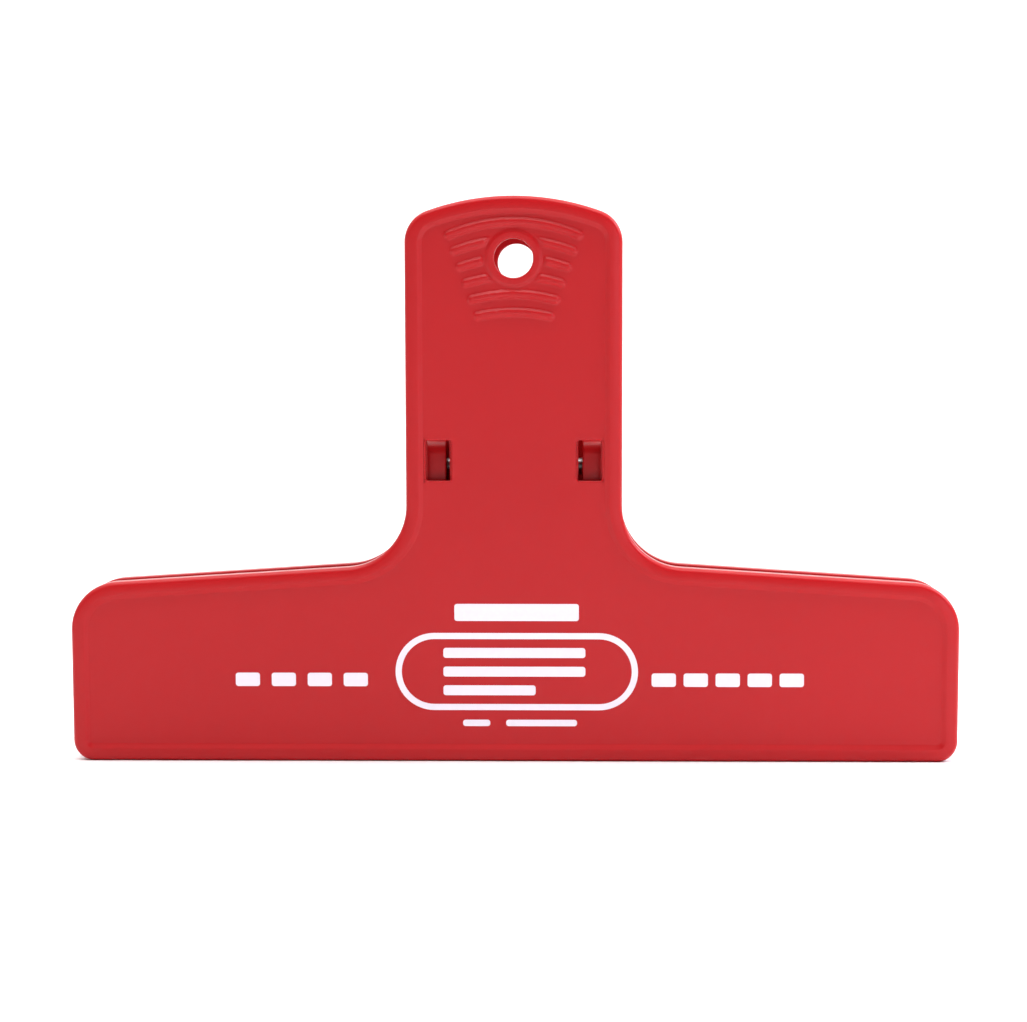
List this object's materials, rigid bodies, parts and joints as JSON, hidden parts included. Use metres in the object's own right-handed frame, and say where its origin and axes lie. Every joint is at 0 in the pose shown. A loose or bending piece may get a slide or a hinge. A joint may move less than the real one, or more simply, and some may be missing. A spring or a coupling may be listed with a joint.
{
  "type": "spring paper clamp",
  "caption": "T-shaped moulded plastic clip whose levers turn on a steel pin against a torsion spring, so that a wide toothed jaw grips loose papers; a hole in the handle hangs it up.",
  "frame": {"origin": "middle of the clip's bounding box, on the plane of the jaw's foot", "axes": "+X along the jaw, to the right as the front is seen; +Y from the front lever to the rear lever; +Z from the jaw up to the handles"},
  "size_m": [0.15, 0.0298, 0.0953],
  "materials": {
    "red_plastic": "glossy moulded red",
    "pin_steel": "drawn wire, bright",
    "spring_steel": "drawn wire, satin"
  },
  "bodies": {
    "rear": {"rear_lever": "red_plastic", "hinge_pin": "pin_steel", "torsion_spring": "spring_steel"},
    "front": {"front_lever": "red_plastic"}
  },
  "joints": [
    {"name": "lever_hinge", "type": "hinge", "parent": "rear", "child": "front", "pos_m": [0, 0, 0.05], "axis": [-1, 0, 0], "range_deg": [0, 25], "stiffness_Nm_per_rad": 0.8, "springref_deg": -25.78, "deforming": ["torsion_spring"]}
  ]
}
